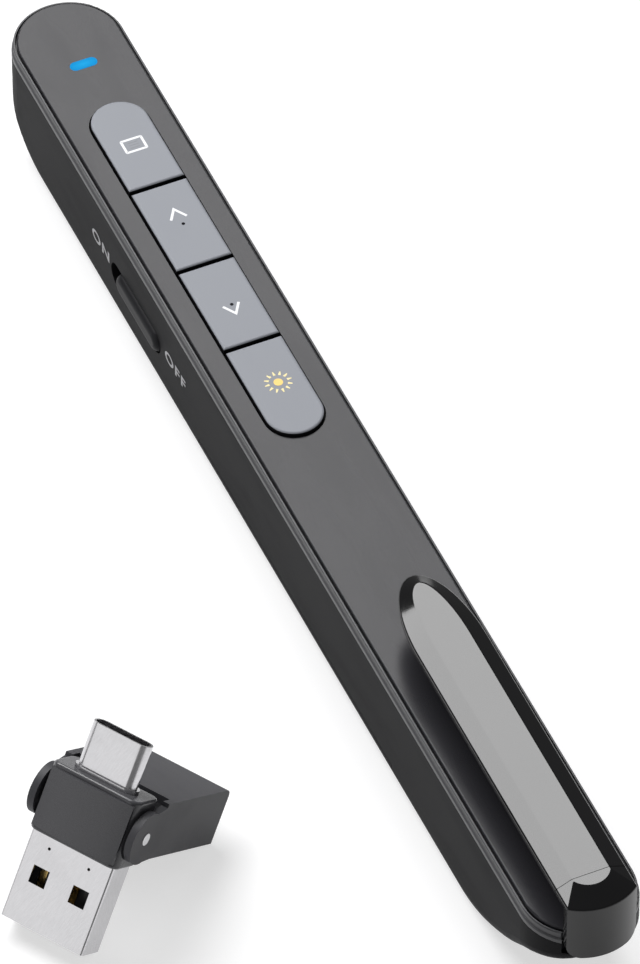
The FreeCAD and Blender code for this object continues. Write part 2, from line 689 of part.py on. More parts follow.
def stand_angle():
    """Lean at which the plug tip and the open cap both touch the table."""
    tip = COLLAR[2] / 2 + USB_A[2]
    return math.atan2(CAP_REACH - USB_A[1] / 2, tip - CAP_FRONT)


def stand_height():
    tilt = stand_angle()
    tip = COLLAR[2] / 2 + USB_A[2]
    return tip * math.sin(tilt) + USB_A[1] / 2 * math.cos(tilt)


def place_receiver(shape):
    tilt = stand_angle()
    yaw = math.radians(RX_YAW)
    hx, hy = math.cos(yaw), math.sin(yaw)
    c, s = math.cos(tilt), math.sin(tilt)
    ax = (c * hx, c * hy, -s)
    az = (s * hx, s * hy, c)
    ay = (-hy, hx, 0.0)
    ay = (az[1] * ax[2] - az[2] * ax[1], az[2] * ax[0] - az[0] * ax[2], az[0] * ax[1] - az[1] * ax[0])
    matrix = FreeCAD.Matrix(ax[0], ay[0], az[0], RX_X,
                            ax[1], ay[1], az[1], RX_Y,
                            ax[2], ay[2], az[2], stand_height(),
                            0, 0, 0, 1)
    out = shape.copy()
    out.Placement = FreeCAD.Placement(matrix).multiply(shape.Placement)
    return out


# Output

def save(name, shape):
    solids = shape.Solids
    if not solids:
        raise RuntimeError(name + " has no solid")
    for solid in solids:
        if not solid.isValid():
            raise RuntimeError(name + " is not a valid solid")
    if shape.ShapeType == "Compound" and len(solids) == 1:
        shape = solids[0]
    shape.exportStep("parts/" + name + ".step")
    b = shape.BoundBox
    print("%-20s solids %d vol %9.2f  x %7.2f %7.2f  y %6.2f %6.2f  z %6.2f %6.2f" % (
        name, len(solids), shape.Volume, b.XMin, b.XMax, b.YMin, b.YMax, b.ZMin, b.ZMax))


def build():
    shell = hull(0.0, SPLIT_Z, 1.9)
    save("lower_housing", lower_housing(shell))
    save("battery_cover", battery_cover(shell))
    save("rim_frame", rim_frame())
    save("face_plate", face_plate())
    for name, x0, x1 in KEY_SPANS:
        save(name, key(name, x0, x1))
    save("key_mat", key_mat())

    save("main_board", main_board())
    save("tact_switches", tact_switches())
    save("radio_chip", chip(50.0, 0.0, (4.0, 4.0), BOARD_Z0 - 0.02, 0.85))
    save("memory_chip", chip(24.0, 0.6, (4.9, 3.9), BOARD_Z0 - 0.02, 1.0))
    save("crystal", box(54.6, 57.8, -1.25, 1.25, BOARD_Z0 - 0.75, BOARD_Z0 - 0.02))
    save("chip_antenna", box(72.0, 75.2, -0.8, 0.8, BOARD_Z0 - 0.12, BOARD_Z0 - 0.02)
         .fuse(box(72.0, 72.6, -2.9, -0.7, BOARD_Z0 - 0.12, BOARD_Z0 - 0.02)).removeSplitter())
    save("board_capacitors", small_parts())
    save("board_screws", screws())
    save("status_led", status_led())
    save("led_light_pipe", light_pipe())

    save("laser_barrel", laser_barrel())
    save("laser_lens", laser_lens())
    save("laser_diode", laser_diode())
    save("laser_board", laser_board())
    save("laser_window", laser_window())
    save("laser_leads", Part.makeCompound([
        wire([(64.1, y, 10.9), (63.3, y, 11.3), (62.6, y * 1.3, 11.8), (62.3, y * 1.4, 12.35)], 0.22)
        for y in (-1.6, 1.6)]))

    save("power_switch_knob", switch_knob())
    save("switch_slider", switch_slider())
    save("slide_switch_can", switch_can())
    save("switch_board", switch_board())

    save("battery_cell", battery_cell())
    save("battery_spring", battery_spring())
    save("spring_plate", spring_plate())
    save("battery_contact", battery_contact())
    save("battery_leads", Part.makeCompound([
        wire([(13.1, -2.0, 9.0), (14.0, -2.4, 9.6), (14.8, -3.0, 10.8), (15.1, -3.2, 12.1)], 0.35),
        wire([(-39.1, 4.2, 11.0), (-34.0, 4.3, 11.2), (-20.0, 4.3, 11.2), (-8.0, 4.3, 11.2),
              (2.0, 4.2, 11.2), (7.0, 4.1, 11.4), (9.6, 4.0, 12.05)], 0.35)]))

    save("clip_arm", clip_arm())
    save("tail_cap", tail_cap())

    for name, maker in (("receiver_collar", receiver_collar), ("usb_a_shell", usb_a_shell),
                        ("usb_a_tongue", usb_a_tongue), ("usb_a_contacts", usb_a_contacts),
                        ("usb_c_shell", usb_c_shell), ("usb_c_tongue", usb_c_tongue),
                        ("receiver_board", receiver_board), ("receiver_chip", receiver_chip),
                        ("cap_pins", cap_pins), ("receiver_cap", receiver_cap)):
        save(name, place_receiver(maker()))


build()
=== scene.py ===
"""Looks of a slim presentation clicker and its plug-in receiver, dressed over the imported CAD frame.

Everything is in metres in the row frame: +X out of the nose, +Y the switch side, +Z up through the keys.
"""

import logging
import math
from dataclasses import dataclass, field
from enum import Enum

import bmesh
import bpy
from mathutils import Matrix, Vector


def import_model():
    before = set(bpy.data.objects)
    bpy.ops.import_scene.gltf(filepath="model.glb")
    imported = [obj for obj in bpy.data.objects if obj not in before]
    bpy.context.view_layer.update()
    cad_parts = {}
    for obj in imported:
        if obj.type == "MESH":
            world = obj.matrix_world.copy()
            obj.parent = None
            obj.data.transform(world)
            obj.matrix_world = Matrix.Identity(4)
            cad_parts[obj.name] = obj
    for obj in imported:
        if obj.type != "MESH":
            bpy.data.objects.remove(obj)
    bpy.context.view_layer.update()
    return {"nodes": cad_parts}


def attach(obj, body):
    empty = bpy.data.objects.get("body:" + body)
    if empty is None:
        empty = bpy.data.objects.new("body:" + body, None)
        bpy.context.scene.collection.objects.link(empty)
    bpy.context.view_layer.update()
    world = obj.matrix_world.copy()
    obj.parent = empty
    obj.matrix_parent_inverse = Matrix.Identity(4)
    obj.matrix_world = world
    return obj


LOG = logging.getLogger("clicker")
MM = 0.001
BUMP_DEPTH = 0.02 * MM      # height that a full-strength bump stands for
ROUGHNESS_SWING = 0.08      # how far the spark texture moves the roughness
INK_SINK = 0.002 * MM       # how far printed ink starts below the face it lies on
SHARPEST_MITRE = 0.35       # keeps the outer corner of a printed line from running far out
Colour = tuple[float, float, float]
Point = tuple[float, float]


# Small node helpers

def new_group(name: str, kind: str) -> bpy.types.NodeTree:
    """Make an empty node group.

    Args:
        name: Name of the group.
        kind: "ShaderNodeTree" or "GeometryNodeTree".

    Returns:
        The new tree.
    """
    return bpy.data.node_groups.new(name, kind)


def add_socket(tree: bpy.types.NodeTree, name: str, kind: str, output: bool = False,
               default: float | None = None) -> str:
    """Add a named socket to a group.

    Args:
        tree: The group.
        name: Socket name.
        kind: Short type, such as "Float", "Vector", "Color", "Int", "Material" or "Geometry".
        output: True for an output socket.
        default: Starting value of a float or integer input.

    Returns:
        The socket's identifier.
    """
    item = tree.interface.new_socket(name, in_out="OUTPUT" if output else "INPUT",
                                     socket_type="NodeSocket" + kind)
    if default is not None:
        item.default_value = default
    return item.identifier


def link(tree: bpy.types.NodeTree, source: bpy.types.NodeSocket, target: bpy.types.NodeSocket) -> None:
    """Join two sockets."""
    tree.links.new(source, target)


def math_node(tree: bpy.types.NodeTree, operation: str, a: bpy.types.NodeSocket | float,
              b: bpy.types.NodeSocket | float) -> bpy.types.NodeSocket:
    """Add a Math node.

    Args:
        tree: Tree to add it to.
        operation: Blender's name of the operation.
        a: First operand, a socket or a number.
        b: Second operand, a socket or a number.

    Returns:
        The node's output socket.
    """
    node = tree.nodes.new("ShaderNodeMath")
    node.operation = operation
    for socket, value in zip(node.inputs, (a, b)):
        if isinstance(value, (int, float)):
            socket.default_value = value
        else:
            link(tree, value, socket)
    return node.outputs[0]


# Surface effects shared by finishes

class SurfaceEffects:
    """Shader node groups that several finishes place with their own values."""

    def __init__(self) -> None:
        """Build the groups once."""
        self.grain = self._moulded_grain()
        self.handling = self._handling_marks()
        self.brushing = self._brushing()

    @staticmethod
    def _moulded_grain() -> bpy.types.NodeTree:
        """Fine spark texture of a moulded or painted skin.

        Returns:
            A group with inputs Vector and Size, and outputs Height and Tone.
        """
        tree = new_group("moulded_grain", "ShaderNodeTree")
        add_socket(tree, "Vector", "Vector")
        add_socket(tree, "Size", "Float", default=9000.0)
        add_socket(tree, "Height", "Float", output=True)
        add_socket(tree, "Tone", "Float", output=True)
        enter = tree.nodes.new("NodeGroupInput")
        leave = tree.nodes.new("NodeGroupOutput")
        fine = tree.nodes.new("ShaderNodeTexNoise")
        fine.inputs["Detail"].default_value = 3.0
        fine.inputs["Roughness"].default_value = 0.65
        pits = tree.nodes.new("ShaderNodeTexVoronoi")
        pits.feature = "SMOOTH_F1"
        broad = tree.nodes.new("ShaderNodeTexNoise")
        broad.inputs["Scale"].default_value = 55.0
        broad.inputs["Detail"].default_value = 2.0
        link(tree, enter.outputs["Vector"], fine.inputs["Vector"])
        link(tree, enter.outputs["Vector"], pits.inputs["Vector"])
        link(tree, enter.outputs["Vector"], broad.inputs["Vector"])
        link(tree, enter.outputs["Size"], fine.inputs["Scale"])
        link(tree, math_node(tree, "MULTIPLY", enter.outputs["Size"], 0.6), pits.inputs["Scale"])
        height = math_node(tree, "ADD", math_node(tree, "MULTIPLY", fine.outputs[0], 0.7),
                           math_node(tree, "MULTIPLY", pits.outputs["Distance"], 0.5))
        link(tree, height, leave.inputs["Height"])
        tone = math_node(tree, "ADD", math_node(tree, "MULTIPLY", fine.outputs[0], 0.45),
                         math_node(tree, "MULTIPLY", broad.outputs[0], 0.55))
        link(tree, tone, leave.inputs["Tone"])
        return tree

    @staticmethod
    def _handling_marks() -> bpy.types.NodeTree:
        """Faint smears and hairlines that handling leaves in a gloss.

        Returns:
            A group with inputs Vector and Amount, and output Mask from 0 to Amount.
        """
        tree = new_group("handling_marks", "ShaderNodeTree")
        add_socket(tree, "Vector", "Vector")
        add_socket(tree, "Amount", "Float", default=0.2)
        add_socket(tree, "Mask", "Float", output=True)
        enter = tree.nodes.new("NodeGroupInput")
        leave = tree.nodes.new("NodeGroupOutput")
        stretch = tree.nodes.new("ShaderNodeMapping")
        stretch.inputs["Scale"].default_value = (0.25, 1.0, 1.0)
        stretch.inputs["Rotation"].default_value = (0.0, 0.0, 0.35)
        smear = tree.nodes.new("ShaderNodeTexNoise")
        smear.inputs["Scale"].default_value = 210.0
        smear.inputs["Detail"].default_value = 5.0
        smear.inputs["Distortion"].default_value = 0.6
        ramp = tree.nodes.new("ShaderNodeMapRange")
        ramp.inputs["From Min"].default_value = 0.48
        ramp.inputs["From Max"].default_value = 0.78
        link(tree, enter.outputs["Vector"], stretch.inputs["Vector"])
        link(tree, stretch.outputs["Vector"], smear.inputs["Vector"])
        link(tree, smear.outputs[0], ramp.inputs["Value"])
        link(tree, math_node(tree, "MULTIPLY", ramp.outputs["Result"], enter.outputs["Amount"]),
             leave.inputs["Mask"])
        return tree

    @staticmethod
    def _brushing() -> bpy.types.NodeTree:
        """Fine drawn lines of rolled or turned metal.

        Returns:
            A group with inputs Vector and Stretch, and outputs Height and Tone.
        """
        tree = new_group("metal_brushing", "ShaderNodeTree")
        add_socket(tree, "Vector", "Vector")
        add_socket(tree, "Stretch", "Float", default=14.0)
        add_socket(tree, "Height", "Float", output=True)
        add_socket(tree, "Tone", "Float", output=True)
        enter = tree.nodes.new("NodeGroupInput")
        leave = tree.nodes.new("NodeGroupOutput")
        split = tree.nodes.new("ShaderNodeSeparateXYZ")
        join = tree.nodes.new("ShaderNodeCombineXYZ")
        lines = tree.nodes.new("ShaderNodeTexNoise")
        lines.inputs["Scale"].default_value = 900.0
        lines.inputs["Detail"].default_value = 4.0
        link(tree, enter.outputs["Vector"], split.inputs[0])
        along = math_node(tree, "MULTIPLY", split.outputs["X"], enter.outputs["Stretch"])
        link(tree, along, join.inputs["X"])
        link(tree, split.outputs["Y"], join.inputs["Y"])
        link(tree, split.outputs["Z"], join.inputs["Z"])
        link(tree, join.outputs[0], lines.inputs["Vector"])
        link(tree, lines.outputs[0], leave.inputs["Height"])
        link(tree, lines.outputs[0], leave.inputs["Tone"])
        return tree


# Finishes

@dataclass(frozen=True)
class PlasticFinish:
    """A moulded, painted or printed plastic skin.

    Attributes:
        name: Material name.
        colour: Base colour, linear.
        roughness: Middle roughness.
        grain: Bump strength of the spark texture.
        grain_size: Spark texture scale, higher is finer.
        mottle: How far the colour wanders, as a share of itself.
        marks: Strength of handling marks in the roughness.
        coat: Clear coat weight.
        specular: Specular level.
        gap_shade_height: Height above the floor below which the skin is nearly black, a painted shade for
            the gap round a key, or 0 for none.
    """

    name: str
    colour: Colour
    roughness: float = 0.45
    grain: float = 0.12
    grain_size: float = 9000.0
    mottle: float = 0.08
    marks: float = 0.06
    coat: float = 0.0
    specular: float = 0.5
    gap_shade_height: float = 0.0

    def make(self, effects: SurfaceEffects) -> bpy.types.Material:
        """Build the material.

        Args:
            effects: The shared groups.

        Returns:
            The finished material.
        """
        mat, tree, shader, vector = blank_material(self.name)
        grain = place_group(tree, effects.grain, vector, Size=self.grain_size)
        marks = place_group(tree, effects.handling, vector, Amount=self.marks)
        blend = tree.nodes.new("ShaderNodeMix")
        blend.data_type = "RGBA"
        low = tuple(c * (1.0 - self.mottle) for c in self.colour)
        high = tuple(min(1.0, c * (1.0 + self.mottle)) for c in self.colour)
        blend.inputs["A"].default_value = (*low, 1.0)
        blend.inputs["B"].default_value = (*high, 1.0)
        link(tree, grain.outputs["Tone"], blend.inputs["Factor"])
        colour = blend.outputs["Result"]
        # Painted shade: low on a key's sides the skin goes near black for the shadowed gap to the plate.
        if self.gap_shade_height:
            colour = self._paint_gap_shade(tree, vector, colour)
        link(tree, colour, shader.inputs["Base Color"])
        swing = math_node(tree, "MULTIPLY", grain.outputs["Tone"], ROUGHNESS_SWING)
        even = math_node(tree, "ADD", swing, self.roughness - ROUGHNESS_SWING / 2)
        link(tree, math_node(tree, "ADD", even, marks.outputs["Mask"]), shader.inputs["Roughness"])
        bump = tree.nodes.new("ShaderNodeBump")
        bump.inputs["Strength"].default_value = self.grain
        bump.inputs["Distance"].default_value = BUMP_DEPTH
        link(tree, grain.outputs["Height"], bump.inputs["Height"])
        link(tree, bump.outputs["Normal"], shader.inputs["Normal"])
        shader.inputs["Coat Weight"].default_value = self.coat
        shader.inputs["Coat Roughness"].default_value = 0.04
        shader.inputs["Specular IOR Level"].default_value = self.specular
        return mat

    def _paint_gap_shade(self, tree: bpy.types.NodeTree, vector: bpy.types.NodeSocket,
                      colour: bpy.types.NodeSocket) -> bpy.types.NodeSocket:
        """Paint shade in the gap round a key: the skin goes nearly black below the shade height.

        Args:
            tree: The material's tree.
            vector: Object coordinates.
            colour: The skin's colour above the painted shade.

        Returns:
            The colour with its painted gap shade.
        """
        split = tree.nodes.new("ShaderNodeSeparateXYZ")
        link(tree, vector, split.inputs[0])
        below = math_node(tree, "LESS_THAN", split.outputs["Z"], self.gap_shade_height)
        shade = tree.nodes.new("ShaderNodeMix")
        shade.data_type = "RGBA"
        # Near black of the painted gap shade.
        shade.inputs["B"].default_value = (0.006, 0.006, 0.007, 1.0)
        link(tree, below, shade.inputs["Factor"])
        link(tree, colour, shade.inputs["A"])
        return shade.outputs["Result"]


@dataclass(frozen=True)
class MetalFinish:
    """A plated, rolled or turned metal.

    Attributes:
        name: Material name.
        colour: Base colour, linear.
        roughness: Middle roughness.
        lines: Bump strength of the drawn lines.
    """

    name: str
    colour: Colour
    roughness: float = 0.25
    lines: float = 0.05

    def make(self, effects: SurfaceEffects) -> bpy.types.Material:
        """Build the material.

        Args:
            effects: The shared groups.

        Returns:
            The finished material.
        """
        mat, tree, shader, vector = blank_material(self.name)
        brushing = place_group(tree, effects.brushing, vector, Stretch=10.0)
        marks = place_group(tree, effects.handling, vector, Amount=0.12)
        blend = tree.nodes.new("ShaderNodeMix")
        blend.data_type = "RGBA"
        blend.inputs["A"].default_value = (*(c * 0.9 for c in self.colour), 1.0)
        blend.inputs["B"].default_value = (*(min(1.0, c * 1.08) for c in self.colour), 1.0)
        link(tree, brushing.outputs["Tone"], blend.inputs["Factor"])
        link(tree, blend.outputs["Result"], shader.inputs["Base Color"])
        link(tree, math_node(tree, "ADD", marks.outputs["Mask"], self.roughness), shader.inputs["Roughness"])
        bump = tree.nodes.new("ShaderNodeBump")
        bump.inputs["Strength"].default_value = self.lines
        bump.inputs["Distance"].default_value = BUMP_DEPTH
        link(tree, brushing.outputs["Height"], bump.inputs["Height"])
        link(tree, bump.outputs["Normal"], shader.inputs["Normal"])
        shader.inputs["Metallic"].default_value = 1.0
        return mat


@dataclass(frozen=True)
class GlassFinish:
    """A clear window or lens."""

    name: str
    colour: Colour
    roughness: float = 0.03

    def make(self, effects: SurfaceEffects) -> bpy.types.Material:
        """Build the material.

        Args:
            effects: The shared groups.

        Returns:
            The finished material.
        """
        mat, tree, shader, vector = blank_material(self.name)
        marks = place_group(tree, effects.handling, vector, Amount=0.05)
        link(tree, math_node(tree, "ADD", marks.outputs["Mask"], self.roughness), shader.inputs["Roughness"])
        shader.inputs["Base Color"].default_value = (*self.colour, 1.0)
        shader.inputs["Transmission Weight"].default_value = 1.0
        shader.inputs["IOR"].default_value = 1.5
        return mat


@dataclass(frozen=True)
class GlowFinish:
    """A lit light pipe: bright in the middle, deeper in colour towards its rim."""

    name: str
    centre: Colour
    rim: Colour
    middle: tuple[float, float, float]
    strength: float = 1.0

    def make(self, effects: SurfaceEffects) -> bpy.types.Material:
        """Build the material.

        Args:
            effects: The shared groups.

        Returns:
            The finished material.
        """
        mat, tree, shader, vector = blank_material(self.name)
        shift = tree.nodes.new("ShaderNodeMapping")
        shift.vector_type = "POINT"
        spread = (1100.0, 430.0, 0.0)
        shift.inputs["Location"].default_value = tuple(-c * k for c, k in zip(self.middle, spread))
        shift.inputs["Scale"].default_value = spread
        ball = tree.nodes.new("ShaderNodeTexGradient")
        ball.gradient_type = "SPHERICAL"
        blend = tree.nodes.new("ShaderNodeMix")
        blend.data_type = "RGBA"
        blend.inputs["A"].default_value = (*self.rim, 1.0)
        blend.inputs["B"].default_value = (*self.centre, 1.0)
        grain = place_group(tree, effects.grain, vector, Size=2500.0)
        link(tree, vector, shift.inputs["Vector"])
        link(tree, shift.outputs["Vector"], ball.inputs["Vector"])
        link(tree, ball.outputs["Fac"], blend.inputs["Factor"])
        shader.inputs["Base Color"].default_value = (*(c * 0.15 for c in self.rim), 1.0)
        shader.inputs["Specular IOR Level"].default_value = 0.01
        link(tree, blend.outputs["Result"], shader.inputs["Emission Color"])
        link(tree, math_node(tree, "MULTIPLY", grain.outputs["Tone"], 0.4), shader.inputs["Roughness"])
        shader.inputs["Emission Strength"].default_value = self.strength
        return mat


def blank_material(name: str) -> tuple[bpy.types.Material, bpy.types.NodeTree, bpy.types.Node,
                                       bpy.types.NodeSocket]:
    """Start a material with one Principled shader and Object coordinates.

    Args:
        name: Material name.

    Returns:
        The material, its tree, the shader node and the coordinate socket.
    """
    mat = bpy.data.materials.new(name)
    mat.use_nodes = True
    tree = mat.node_tree
    shader = next(n for n in tree.nodes if n.type == "BSDF_PRINCIPLED")
    coords = tree.nodes.new("ShaderNodeTexCoord")
    return mat, tree, shader, coords.outputs["Object"]


def place_group(tree: bpy.types.NodeTree, group: bpy.types.NodeTree, vector: bpy.types.NodeSocket,
                **values: float) -> bpy.types.Node:
    """Place a shared group in a material.

    Args:
        tree: The material's tree.
        group: The shared group.
        vector: Coordinates to feed it.
        **values: Input values by name.

    Returns:
        The group node.
    """
    node = tree.nodes.new("ShaderNodeGroup")
    node.node_tree = group
    link(tree, vector, node.inputs["Vector"])
    for key, value in values.items():
        node.inputs[key].default_value = value
    return node


class Finish(Enum):
    """Every finish on the object, by the piece that wears it."""

    HOUSING = PlasticFinish("housing_satin_black", (0.0085, 0.0085, 0.0095), 0.5, 0.25, 7000.0, 0.12, 0.05,
                            specular=0.04)
    RIM = PlasticFinish("rim_satin_grey", (0.07, 0.07, 0.075), 0.36, 0.12, 9000.0, 0.08, 0.04, specular=0.25)
    PLATE = PlasticFinish("plate_satin_grey", (0.025, 0.0245, 0.0285), 0.27, 0.10, 12000.0, 0.06, 0.03,
                          specular=0.165)
    # Keys: light grey, with painted shade on their sides below 16.95 mm for the gap to the plate.
    KEYS = PlasticFinish("keys_light_grey", (0.27, 0.282, 0.312), 0.42, 0.10, 11000.0, 0.035, 0.03,
                         specular=0.16, gap_shade_height=0.01695)
    CLIP = PlasticFinish("clip_gloss_black", (0.004, 0.004, 0.0045), 0.09, 0.0, 6000.0, 0.1, 0.012,
                         specular=0.42)
    KNOB = PlasticFinish("knob_satin_black", (0.018, 0.018, 0.02), 0.45, 0.2, 8000.0, 0.1, 0.05,
                         specular=0.08)
    SILICONE = PlasticFinish("silicone_grey", (0.18, 0.18, 0.19), 0.75, 0.3, 6000.0, 0.1, 0.05)
    BOARD = PlasticFinish("solder_mask_green", (0.012, 0.11, 0.045), 0.35, 0.1, 4000.0, 0.25, 0.05)
    CHIP = PlasticFinish("chip_black", (0.02, 0.02, 0.02), 0.55, 0.3, 9000.0, 0.1, 0.03)
    CERAMIC = PlasticFinish("capacitor_tan", (0.34, 0.24, 0.14), 0.5, 0.2, 9000.0, 0.15, 0.03)
    LED_BODY = PlasticFinish("led_resin", (0.8, 0.8, 0.7), 0.2, 0.05, 9000.0, 0.04, 0.02)
    LEAD = PlasticFinish("lead_red", (0.35, 0.015, 0.012), 0.4, 0.05, 6000.0, 0.1, 0.05)
    CELL = PlasticFinish("cell_sleeve", (0.05, 0.12, 0.07), 0.28, 0.05, 5000.0, 0.1, 0.1)
    COLLAR = PlasticFinish("collar_satin_grey", (0.062, 0.062, 0.068), 0.27, 0.05, 9000.0, 0.08, 0.05)
    CAP = PlasticFinish("cap_matte_grey", (0.05, 0.05, 0.056), 0.5, 0.3, 8000.0, 0.1, 0.05, specular=0.3)
    TONGUE = PlasticFinish("tongue_black", (0.02, 0.02, 0.022), 0.4, 0.1, 9000.0, 0.1, 0.03)
    PRINT_WHITE = PlasticFinish("print_white", (0.82, 0.83, 0.85), 0.5, 0.05, 9000.0, 0.03, 0.02)
    PRINT_GREY = PlasticFinish("print_grey", (0.5, 0.5, 0.52), 0.5, 0.05, 9000.0, 0.05, 0.02, specular=0.1)
    PRINT_DARK = PlasticFinish("print_dark", (0.006, 0.006, 0.008), 0.6, 0.05, 9000.0, 0.05, 0.02,
                               specular=0.05)
    PRINT_HATCH = PlasticFinish("print_hatch", (0.2, 0.205, 0.22), 0.5, 0.05, 9000.0, 0.05, 0.02)
    PRINT_YELLOW = PlasticFinish("print_yellow", (0.92, 0.62, 0.15), 0.5, 0.05, 9000.0, 0.03, 0.02)
    PRINT_PALE = PlasticFinish("print_pale_yellow", (0.9, 0.76, 0.36), 0.5, 0.05, 9000.0, 0.03, 0.02)
    STEEL = MetalFinish("plain_steel", (0.55, 0.55, 0.56), 0.28)
    PLUG = MetalFinish("plug_nickel", (0.62, 0.615, 0.63), 0.2)
    BRASS = MetalFinish("turned_brass", (0.72, 0.5, 0.2), 0.22)
    GOLD = MetalFinish("contact_gold", (0.85, 0.6, 0.22), 0.2)
    GLASS = GlassFinish("window_glass", (0.92, 0.95, 1.0))
    LIGHT = GlowFinish("status_light_blue", (0.012, 0.44, 0.86), (0.0, 0.28, 0.68), (0.0729, 0.0, 0.0), 0.85)


class FinishShop:
    """Makes each finish once and hands it out."""

    def __init__(self) -> None:
        """Prepare the shared effects."""
        self.effects = SurfaceEffects()
        self._made: dict[Finish, bpy.types.Material] = {}

    def get(self, finish: Finish) -> bpy.types.Material:
        """Material of a finish, made when first asked for.

        Args:
            finish: Which finish.

        Returns:
            Its material.
        """
        if finish not in self._made:
            self._made[finish] = finish.value.make(self.effects)
        return self._made[finish]


# Mesh helpers

def mesh_piece(name: str, bm: bmesh.types.BMesh, mat: bpy.types.Material, body: str) -> bpy.types.Object:
    """Turn a bmesh into a piece that rides on a body.

    Args:
        name: Piece name.
        bm: Its mesh, freed here.
        mat: Its material.
        body: CAD body it moves with.

    Returns:
        The new object.
    """
    bmesh.ops.remove_doubles(bm, verts=bm.verts, dist=1e-8)
    bmesh.ops.recalc_face_normals(bm, faces=bm.faces)
    mesh = bpy.data.meshes.new(name)
    bm.to_mesh(mesh)
    bm.free()
    obj = bpy.data.objects.new(name, mesh)
    bpy.context.scene.collection.objects.link(obj)
    mesh.materials.append(mat)
    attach(obj, body)
    LOG.info("piece %s rides on %s", name, body)
    return obj


def add_slab(bm: bmesh.types.BMesh, outline: list[Point], place: Matrix, thick: float) -> None:
    """Add a thin flat slab with an outline to a bmesh.

    Args:
        bm: Mesh to add to.
        outline: Corner points in the slab's own plane, in metres.
        place: Turns the plane's x, y, normal into the row frame.
        thick: Slab thickness.
    """
    low = [bm.verts.new(place @ Vector((x, y, 0.0))) for x, y in outline]
    high = [bm.verts.new(place @ Vector((x, y, thick))) for x, y in outline]
    bm.faces.new(high)
    bm.faces.new(list(reversed(low)))
    count = len(outline)
    for i in range(count):
        j = (i + 1) % count
        bm.faces.new((low[i], low[j], high[j], high[i]))


def add_stroke(bm: bmesh.types.BMesh, line: list[Point], width: float, closed: bool, place: Matrix,
               thick: float) -> None:
    """Add a printed stroke of even width along a line.

    Args:
        bm: Mesh to add to.
        line: Centre line points.
        width: Stroke width.
        closed: True where the line closes on itself.
        place: Turns the plane into the row frame.
        thick: Ink thickness.
    """
    pts = [Vector(p) for p in line]
    count = len(pts)
    left, right = [], []
    for i, here in enumerate(pts):
        before = pts[i - 1] if (closed or i > 0) else here
        after = pts[(i + 1) % count] if (closed or i < count - 1) else here
        a = (here - before).normalized() if (here - before).length else (after - here).normalized()
        b = (after - here).normalized() if (after - here).length else a
        bisect = (a + b).normalized()
        side = Vector((-bisect.y, bisect.x))
        reach = width / 2 / max(SHARPEST_MITRE, side.dot(Vector((-a.y, a.x))))
        left.append(here + side * reach)
        right.append(here - side * reach)
    spans = count if closed else count - 1
    for i in range(spans):
        j = (i + 1) % count
        quad = [tuple(right[i]), tuple(right[j]), tuple(left[j]), tuple(left[i])]
        add_slab(bm, quad, place, thick)


def arc_points(radius: float, start: float, end: float, steps: int,
               centre: Point = (0.0, 0.0)) -> list[Point]:
    """Points on a circular arc.

    Args:
        radius: Arc radius.
        start: First angle in degrees.
        end: Last angle in degrees.
        steps: Number of steps between them.
        centre: Arc centre.

    Returns:
        The points, both ends included.
    """
    out = []
    for i in range(steps + 1):
        turn = math.radians(start + (end - start) * i / steps)
        out.append((centre[0] + radius * math.cos(turn), centre[1] + radius * math.sin(turn)))
    return out


def rounded_rectangle(width: float, height: float, radius: float, steps: int = 6) -> list[Point]:
    """Outline of a rectangle with round corners, anticlockwise about the origin.

    Args:
        width: Size along x.
        height: Size along y.
        radius: Corner radius.
        steps: Steps in each corner.

    Returns:
        The outline points.
    """
    w, h = width / 2 - radius, height / 2 - radius
    out: list[Point] = []
    for cx, cy, turn in ((w, h, 0), (-w, h, 90), (-w, -h, 180), (w, -h, 270)):
        out += arc_points(radius, turn, turn + 90, steps, (cx, cy))
    return out


# Repeated shapes by geometry nodes

